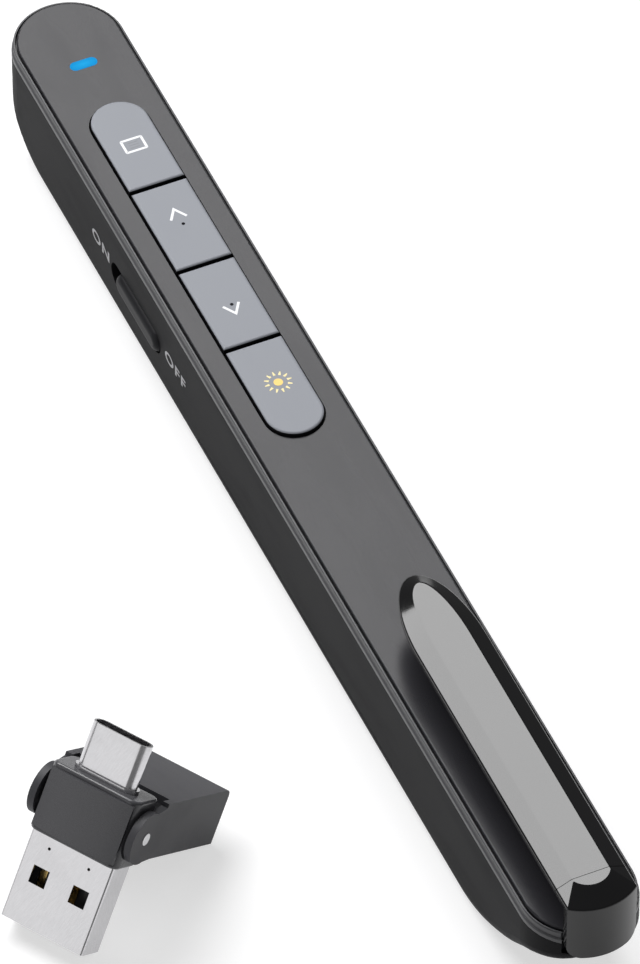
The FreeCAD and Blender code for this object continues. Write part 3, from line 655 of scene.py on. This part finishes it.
class RepeatTrees:
    """Geometry node trees for marks and ribs that repeat round a circle or along a row."""

    def __init__(self) -> None:
        """Build both trees once."""
        self.ring_inputs: dict[str, str] = {}
        self.row_inputs: dict[str, str] = {}
        self.ring = self._ring()
        self.row = self._row()

    def _finish(self, tree: bpy.types.NodeTree, source: bpy.types.NodeSocket,
                material: bpy.types.NodeSocket) -> None:
        """End a tree in Realize Instances and Set Material.

        Args:
            tree: The tree.
            source: Geometry so far.
            material: Material socket of the group input.
        """
        real = tree.nodes.new("GeometryNodeRealizeInstances")
        paint = tree.nodes.new("GeometryNodeSetMaterial")
        leave = tree.nodes.new("NodeGroupOutput")
        link(tree, source, real.inputs["Geometry"])
        link(tree, real.outputs["Geometry"], paint.inputs["Geometry"])
        link(tree, material, paint.inputs["Material"])
        link(tree, paint.outputs["Geometry"], leave.inputs["Geometry"])

    def _ring(self) -> bpy.types.NodeTree:
        """Tapered rays standing on a circle, each turned outwards.

        Returns:
            The tree.
        """
        tree = new_group("ray_ring", "GeometryNodeTree")
        add_socket(tree, "Geometry", "Geometry", output=True)
        for name, kind, default in (("Count", "Int", 12), ("Radius", "Float", 0.001),
                                    ("Length", "Float", 0.0005), ("Width", "Float", 0.0002),
                                    ("Thickness", "Float", 0.00002)):
            self.ring_inputs[name] = add_socket(tree, name, kind, default=default)
        self.ring_inputs["Material"] = add_socket(tree, "Material", "Material")
        enter = tree.nodes.new("NodeGroupInput")
        circle = tree.nodes.new("GeometryNodeCurvePrimitiveCircle")
        link(tree, enter.outputs["Count"], circle.inputs["Resolution"])
        link(tree, enter.outputs["Radius"], circle.inputs["Radius"])
        ray = tree.nodes.new("GeometryNodeMeshCone")
        ray.inputs["Vertices"].default_value = 4
        ray.inputs["Side Segments"].default_value = 1
        link(tree, enter.outputs["Length"], ray.inputs["Depth"])
        link(tree, enter.outputs["Width"], ray.inputs["Radius Bottom"])
        link(tree, math_node(tree, "MULTIPLY", enter.outputs["Width"], 0.45), ray.inputs["Radius Top"])
        flatten = tree.nodes.new("GeometryNodeTransform")
        flatten.inputs["Rotation"].default_value = (0.0, 0.0, math.radians(45.0))
        squash = tree.nodes.new("GeometryNodeTransform")
        squash.inputs["Rotation"].default_value = (0.0, math.radians(90.0), 0.0)
        size = tree.nodes.new("ShaderNodeCombineXYZ")
        size.inputs["X"].default_value = 1.0
        size.inputs["Y"].default_value = 1.0
        ratio = math_node(tree, "DIVIDE", enter.outputs["Thickness"],
                          math_node(tree, "MULTIPLY", enter.outputs["Width"], 1.4142))
        thin = tree.nodes.new("GeometryNodeTransform")
        link(tree, ratio, size.inputs["Z"])
        link(tree, ray.outputs["Mesh"], flatten.inputs["Geometry"])
        link(tree, flatten.outputs["Geometry"], squash.inputs["Geometry"])
        link(tree, squash.outputs["Geometry"], thin.inputs["Geometry"])
        link(tree, size.outputs[0], thin.inputs["Scale"])
        tangent = tree.nodes.new("GeometryNodeInputTangent")
        align = tree.nodes.new("FunctionNodeAlignEulerToVector")
        align.axis = "Y"
        align.pivot_axis = "Z"
        link(tree, tangent.outputs[0], align.inputs["Vector"])
        place = tree.nodes.new("GeometryNodeInstanceOnPoints")
        link(tree, circle.outputs["Curve"], place.inputs["Points"])
        link(tree, thin.outputs["Geometry"], place.inputs["Instance"])
        link(tree, align.outputs["Rotation"], place.inputs["Rotation"])
        self._finish(tree, place.outputs["Instances"], enter.outputs["Material"])
        return tree

    def _row(self) -> bpy.types.NodeTree:
        """Round-topped ribs in a straight row along x.

        Returns:
            The tree.
        """
        tree = new_group("rib_row", "GeometryNodeTree")
        add_socket(tree, "Geometry", "Geometry", output=True)
        for name, kind, default in (("Count", "Int", 5), ("Pitch", "Float", 0.001),
                                    ("Length", "Float", 0.003), ("Width", "Float", 0.0003),
                                    ("Height", "Float", 0.0002)):
            self.row_inputs[name] = add_socket(tree, name, kind, default=default)
        self.row_inputs["Material"] = add_socket(tree, "Material", "Material")
        enter = tree.nodes.new("NodeGroupInput")
        line = tree.nodes.new("GeometryNodeMeshLine")
        step = tree.nodes.new("ShaderNodeCombineXYZ")
        link(tree, enter.outputs["Pitch"], step.inputs["X"])
        link(tree, enter.outputs["Count"], line.inputs["Count"])
        link(tree, step.outputs[0], line.inputs["Offset"])
        rib = tree.nodes.new("GeometryNodeMeshCylinder")
        rib.inputs["Vertices"].default_value = 16
        rib.inputs["Radius"].default_value = 0.5
        rib.inputs["Depth"].default_value = 1.0
        turn = tree.nodes.new("GeometryNodeTransform")
        turn.inputs["Rotation"].default_value = (math.radians(90.0), 0.0, 0.0)
        size = tree.nodes.new("ShaderNodeCombineXYZ")
        link(tree, enter.outputs["Width"], size.inputs["X"])
        link(tree, enter.outputs["Length"], size.inputs["Y"])
        link(tree, math_node(tree, "MULTIPLY", enter.outputs["Height"], 2.0), size.inputs["Z"])
        shape = tree.nodes.new("GeometryNodeTransform")
        link(tree, rib.outputs["Mesh"], turn.inputs["Geometry"])
        link(tree, turn.outputs["Geometry"], shape.inputs["Geometry"])
        link(tree, size.outputs[0], shape.inputs["Scale"])
        place = tree.nodes.new("GeometryNodeInstanceOnPoints")
        link(tree, line.outputs["Mesh"], place.inputs["Points"])
        link(tree, shape.outputs["Geometry"], place.inputs["Instance"])
        self._finish(tree, place.outputs["Instances"], enter.outputs["Material"])
        return tree

    @staticmethod
    def bake(name: str, tree: bpy.types.NodeTree, inputs: dict[str, str], values: dict[str, object],
             place: Matrix, body: str, slot: str) -> bpy.types.Object:
        """Run a tree and keep its result as a plain mesh that rides on a body.

        Args:
            name: Piece name.
            tree: The tree to run.
            inputs: Socket identifiers by input name.
            values: Input values by name.
            place: Where the result goes, in the row frame.
            body: CAD body it moves with.
            slot: Not used.

        Returns:
            The new object.
        """
        carrier = bpy.data.objects.new(name + "_carrier", bpy.data.meshes.new(name + "_carrier"))
        bpy.context.scene.collection.objects.link(carrier)
        modifier = carrier.modifiers.new("repeat", "NODES")
        modifier.node_group = tree
        for key, value in values.items():
            modifier[inputs[key]] = value
        bpy.context.view_layer.update()
        depsgraph = bpy.context.evaluated_depsgraph_get()
        mesh = bpy.data.meshes.new_from_object(carrier.evaluated_get(depsgraph))
        bpy.data.objects.remove(carrier)
        mesh.name = name
        mesh.transform(place)
        obj = bpy.data.objects.new(name, mesh)
        bpy.context.scene.collection.objects.link(obj)
        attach(obj, body)
        LOG.info("piece %s rides on %s", name, body)
        return obj


# Sub-assemblies

@dataclass
class KeySymbols:
    """The symbols printed on the four keys."""

    shop: FinishShop
    repeats: RepeatTrees
    top: float = 17.1 * MM
    ink: float = 0.012 * MM
    screen_x: float = 56.6 * MM
    up_x: float = 43.3 * MM
    down_x: float = 25.3 * MM
    sun_x: float = 11.6 * MM
    line: float = 0.34 * MM
    screen_size: Point = (2.1 * MM, 2.75 * MM)
    arrow_depth: float = 0.84 * MM
    arrow_wing: float = 1.08 * MM
    dot_radius: float = 0.23 * MM
    sun_radius: float = 0.6 * MM

    def frame_at(self, x: float, y: float = 0.0) -> Matrix:
        """Plane of a symbol: its x runs to the nose, its y to the switch side.

        Args:
            x: Place along the bar.
            y: Place across the bar.

        Returns:
            The plane as a matrix.
        """
        return Matrix.Translation((x, y, self.top - INK_SINK))

    def build(self) -> None:
        """Print every symbol."""
        self.screen()
        self.chevron("key_page_up", self.up_x, 1.0, 1.95 * MM)
        self.chevron("key_page_down", self.down_x, -1.0, 0.8 * MM)
        self.sun()

    def screen(self) -> None:
        """Screen outline with a faint hatch in it."""
        bm = bmesh.new()
        outline = rounded_rectangle(*self.screen_size, 0.1 * MM)
        add_stroke(bm, outline, self.line, True, self.frame_at(self.screen_x), self.ink)
        mesh_piece("screen_symbol", bm, self.shop.get(Finish.PRINT_WHITE), "key_screen")
        place = self.frame_at(self.screen_x - 0.45 * MM)
        self.repeats.bake("screen_hatch", self.repeats.row, self.repeats.row_inputs,
                          {"Count": 3, "Pitch": 0.45 * MM, "Length": 1.3 * MM, "Width": 0.12 * MM,
                           "Height": 0.01 * MM, "Material": self.shop.get(Finish.PRINT_HATCH)},
                          place, "key_screen", "key_grey")

    def chevron(self, node: str, x: float, way: float, dot_back: float) -> None:
        """Arrow head across a key with a small dark dot behind it.

        Args:
            node: Key that carries it.
            x: Place along the bar.
            way: 1 to point at the nose, -1 to point at the tail.
            dot_back: How far the dot stands behind the middle of the arrow head.
        """
        bm = bmesh.new()
        tip, wing = self.arrow_depth * way, self.arrow_wing
        line = [(-tip, -wing), (tip, 0.0), (-tip, wing)]
        place = self.frame_at(x, -0.1 * MM)
        add_stroke(bm, line, self.line, False, place, self.ink)
        mesh_piece(node + "_chevron", bm, self.shop.get(Finish.PRINT_WHITE), node)
        dot = bmesh.new()
        ring = arc_points(self.dot_radius, 0, 337.5, 15, (-dot_back * way, -0.12 * MM))
        add_slab(dot, ring, place, self.ink)
        mesh_piece(node + "_dot", dot, self.shop.get(Finish.PRINT_DARK), node)

    def sun(self) -> None:
        """Yellow sun: a disc inside a ring of rays."""
        bm = bmesh.new()
        place = self.frame_at(self.sun_x, -0.2 * MM)
        add_slab(bm, arc_points(self.sun_radius, 0, 348.75, 31), place, self.ink)
        mesh_piece("sun_disc", bm, self.shop.get(Finish.PRINT_YELLOW), "key_laser")
        self.repeats.bake("sun_rays", self.repeats.ring, self.repeats.ring_inputs,
                          {"Count": 12, "Radius": 1.2 * MM, "Length": 0.6 * MM, "Width": 0.24 * MM,
                           "Thickness": 0.02 * MM, "Material": self.shop.get(Finish.PRINT_PALE)},
                          place, "key_laser", "key_grey")


@dataclass
class SideLettering:
    """ON and OFF beside the power switch, read from the nose towards the tail."""

    shop: FinishShop
    cap_share: float = 0.72     # capital height as a share of the letter size
    wall_y: float = 7.5 * MM
    height: float = 1.75 * MM
    stretch: float = 1.4
    bold: float = 0.05 * MM
    spacing: float = 1.16
    centre_z: float = 8.0 * MM
    on_x: float = 50.1 * MM
    off_x: float = 26.4 * MM
    ink: float = 0.012 * MM

    def build(self) -> None:
        """Print both words."""
        self.word("ON", self.on_x)
        self.word("OFF", self.off_x)

    def word(self, text: str, x: float) -> None:
        """Print one word on the wall.

        Args:
            text: The word.
            x: Its middle along the bar.
        """
        curve = bpy.data.curves.new("word_" + text, "FONT")
        curve.body = text
        curve.size = self.height / self.cap_share
        curve.align_x = "CENTER"
        curve.align_y = "CENTER"
        curve.extrude = self.ink / 2
        curve.offset = self.bold
        curve.space_character = self.spacing
        holder = bpy.data.objects.new("word_" + text, curve)
        bpy.context.scene.collection.objects.link(holder)
        bpy.context.view_layer.update()
        mesh = bpy.data.meshes.new_from_object(holder.evaluated_get(bpy.context.evaluated_depsgraph_get()))
        bpy.data.objects.remove(holder)
        wide = -self.stretch
        turn = Matrix(((wide, 0, 0, x), (0, 0, 1, self.wall_y), (0, 1, 0, self.centre_z), (0, 0, 0, 1)))
        mesh.transform(turn)
        name = "lettering_" + text.lower()
        mesh.name = name
        mesh.materials.clear()
        mesh.materials.append(self.shop.get(Finish.PRINT_GREY))
        obj = bpy.data.objects.new(name, mesh)
        bpy.context.scene.collection.objects.link(obj)
        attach(obj, "clicker")
        LOG.info("piece %s rides on clicker", name)


@dataclass
class CadDressing:
    """Finishes of the CAD nodes that show as they are."""

    shop: FinishShop
    finishes: dict[str, Finish] = field(default_factory=lambda: {
        "lower_housing": Finish.HOUSING, "battery_cover": Finish.HOUSING, "rim_frame": Finish.RIM,
        "face_plate": Finish.PLATE, "key_screen": Finish.KEYS, "key_page_up": Finish.KEYS,
        "key_page_down": Finish.KEYS, "key_laser": Finish.KEYS, "key_mat": Finish.SILICONE,
        "main_board": Finish.BOARD, "tact_switches": Finish.STEEL, "radio_chip": Finish.CHIP,
        "memory_chip": Finish.CHIP, "crystal": Finish.STEEL, "chip_antenna": Finish.GOLD,
        "board_capacitors": Finish.CERAMIC, "board_screws": Finish.STEEL, "status_led": Finish.LED_BODY,
        "led_light_pipe": Finish.LIGHT, "laser_barrel": Finish.BRASS, "laser_lens": Finish.GLASS,
        "laser_diode": Finish.STEEL, "laser_board": Finish.BOARD, "laser_window": Finish.GLASS,
        "laser_leads": Finish.LEAD, "power_switch_knob": Finish.KNOB, "switch_slider": Finish.CHIP,
        "slide_switch_can": Finish.STEEL, "switch_board": Finish.BOARD, "battery_cell": Finish.CELL,
        "battery_spring": Finish.STEEL, "spring_plate": Finish.STEEL, "battery_contact": Finish.STEEL,
        "battery_leads": Finish.LEAD, "clip_arm": Finish.CLIP, "tail_cap": Finish.CLIP,
        "receiver_collar": Finish.COLLAR, "usb_a_shell": Finish.PLUG, "usb_a_tongue": Finish.TONGUE,
        "usb_a_contacts": Finish.GOLD, "usb_c_shell": Finish.PLUG, "usb_c_tongue": Finish.TONGUE,
        "receiver_board": Finish.BOARD, "receiver_chip": Finish.CHIP, "cap_pins": Finish.STEEL,
        "receiver_cap": Finish.CAP})

    def build(self, nodes: dict[str, bpy.types.Object]) -> None:
        """Put each node's finish in its material slots.

        Args:
            nodes: The CAD nodes by name.
        """
        for name, finish in self.finishes.items():
            obj = nodes[name]
            mat = self.shop.get(finish)
            if obj.material_slots:
                for slot in obj.material_slots:
                    slot.material = mat
            else:
                obj.data.materials.append(mat)
            LOG.info("node %s wears %s", name, mat.name)


# Studio

@dataclass
class Studio:
    """Pale floor, soft lamps and the camera at the photograph's angle."""

    azimuth: float = 246.0
    elevation: float = 48.0
    distance: float = 1.350
    aim: tuple[float, float, float] = (-0.00535, 0.00165, 0.0165)
    lens: float = 407.1
    sensor: float = 36.0
    world_level: float = 0.2
    floor_colour: Colour = (0.5, 0.5, 0.505)
    floor_glow: float = 0.6
    floor_reach: float = 6.0
    floor_drop: float = 0.05 * MM

    def build(self) -> None:
        """Set up the view, floor, world and lamps."""
        self.camera()
        self.floor()
        self.world()
        self.lamps()
        bpy.context.scene.view_settings.view_transform = "Standard"

    def camera(self) -> None:
        """Place the camera."""
        turn, rise = math.radians(self.azimuth), math.radians(self.elevation)
        back = Vector((math.sin(turn) * math.cos(rise), -math.cos(turn) * math.cos(rise), math.sin(rise)))
        data = bpy.data.cameras.new("camera")
        data.lens = self.lens
        data.sensor_width = self.sensor
        data.clip_end = 20.0
        obj = bpy.data.objects.new("camera", data)
        obj.location = Vector(self.aim) + back * self.distance
        obj.rotation_euler = back.to_track_quat("Z", "Y").to_euler()
        bpy.context.scene.collection.objects.link(obj)
        bpy.context.scene.camera = obj

    def floor(self) -> None:
        """Large pale floor that keeps the shadow, and that can't be seen from below."""
        bm = bmesh.new()
        bmesh.ops.create_grid(bm, x_segments=4, y_segments=4, size=self.floor_reach)
        mesh = bpy.data.meshes.new("floor")
        bm.to_mesh(mesh)
        bm.free()
        mat = bpy.data.materials.new("floor_white")
        mat.use_nodes = True
        tree = mat.node_tree
        tree.nodes.clear()
        out = tree.nodes.new("ShaderNodeOutputMaterial")
        matte = tree.nodes.new("ShaderNodeBsdfDiffuse")
        matte.inputs["Color"].default_value = (*self.floor_colour, 1.0)
        glow = tree.nodes.new("ShaderNodeEmission")
        add = tree.nodes.new("ShaderNodeAddShader")
        seen = self.seen(tree)
        link(tree, math_node(tree, "MULTIPLY", seen, self.floor_glow), glow.inputs["Strength"])
        link(tree, matte.outputs[0], add.inputs[0])
        link(tree, glow.outputs[0], add.inputs[1])
        clear = tree.nodes.new("ShaderNodeBsdfTransparent")
        side = tree.nodes.new("ShaderNodeNewGeometry")
        mix = tree.nodes.new("ShaderNodeMixShader")
        link(tree, side.outputs["Backfacing"], mix.inputs[0])
        link(tree, add.outputs[0], mix.inputs[1])
        link(tree, clear.outputs[0], mix.inputs[2])
        link(tree, mix.outputs[0], out.inputs["Surface"])
        mesh.materials.append(mat)
        obj = bpy.data.objects.new("floor", mesh)
        obj.location = (0.0, 0.0, -self.floor_drop)
        bpy.context.scene.collection.objects.link(obj)

    @staticmethod
    def seen(tree: bpy.types.NodeTree) -> bpy.types.NodeSocket:
        """1 for rays from the eye, and for those that gloss and glass send on.

        Args:
            tree: Tree to add the nodes to.

        Returns:
            The value socket.
        """
        path = tree.nodes.new("ShaderNodeLightPath")
        total = math_node(tree, "ADD", path.outputs["Is Camera Ray"], path.outputs["Is Glossy Ray"])
        total = math_node(tree, "ADD", total, path.outputs["Is Transmission Ray"])
        return math_node(tree, "MINIMUM", total, 1.0)

    def world(self) -> None:
        """Even dim surround, white where the eye itself meets it."""
        world = bpy.data.worlds.new("studio")
        world.use_nodes = True
        bpy.context.scene.world = world
        tree = world.node_tree
        back = next(n for n in tree.nodes if n.type == "BACKGROUND")
        back.inputs["Color"].default_value = (1.0, 1.0, 1.0, 1.0)
        path = tree.nodes.new("ShaderNodeLightPath")
        extra = math_node(tree, "MULTIPLY", path.outputs["Is Camera Ray"], 1.0 - self.world_level)
        link(tree, math_node(tree, "ADD", extra, self.world_level), back.inputs["Strength"])

    def lamps(self) -> None:
        """Softboxes: a bright one seen in the clip's top, a dim one seen in the plugs."""
        bar, plugs = Vector((-0.02, 0.0, 0.02)), Vector((-0.045, 0.05, 0.01))
        self.softbox("sheen_box", bar, Vector((0.611, 0.06, 0.73)), reach=1.1, width=1.0, height=0.5,
                     radiance=8.0)
        self.softbox("side_box", plugs, Vector((-0.139, 0.928, 0.339)), reach=1.0, width=0.9, height=0.6,
                     radiance=0.7)

    @staticmethod
    def softbox(name: str, target: Vector, toward: Vector, reach: float, width: float, height: float,
                radiance: float) -> None:
        """Add a rectangular area lamp.

        Args:
            name: Lamp name.
            target: Point it faces.
            toward: Direction from the target to the lamp.
            reach: Distance from the target.
            width: Size across.
            height: Size along.
            radiance: How bright its face is, where 1 is white.
        """
        data = bpy.data.lights.new(name, "AREA")
        data.shape = "RECTANGLE"
        data.size = width
        data.size_y = height
        data.energy = radiance * 4.0 * width * height
        obj = bpy.data.objects.new(name, data)
        obj.location = target + toward.normalized() * reach
        obj.rotation_euler = toward.to_track_quat("Z", "Y").to_euler()
        bpy.context.scene.collection.objects.link(obj)


def main() -> None:
    """Build the scene in order."""
    logging.basicConfig(level=logging.INFO, format="%(name)s: %(message)s")
    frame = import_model()
    Studio().build()
    shop = FinishShop()
    repeats = RepeatTrees()
    CadDressing(shop).build(frame["nodes"])
    KeySymbols(shop, repeats).build()
    SideLettering(shop).build()


if __name__ == "__main__":
    main()
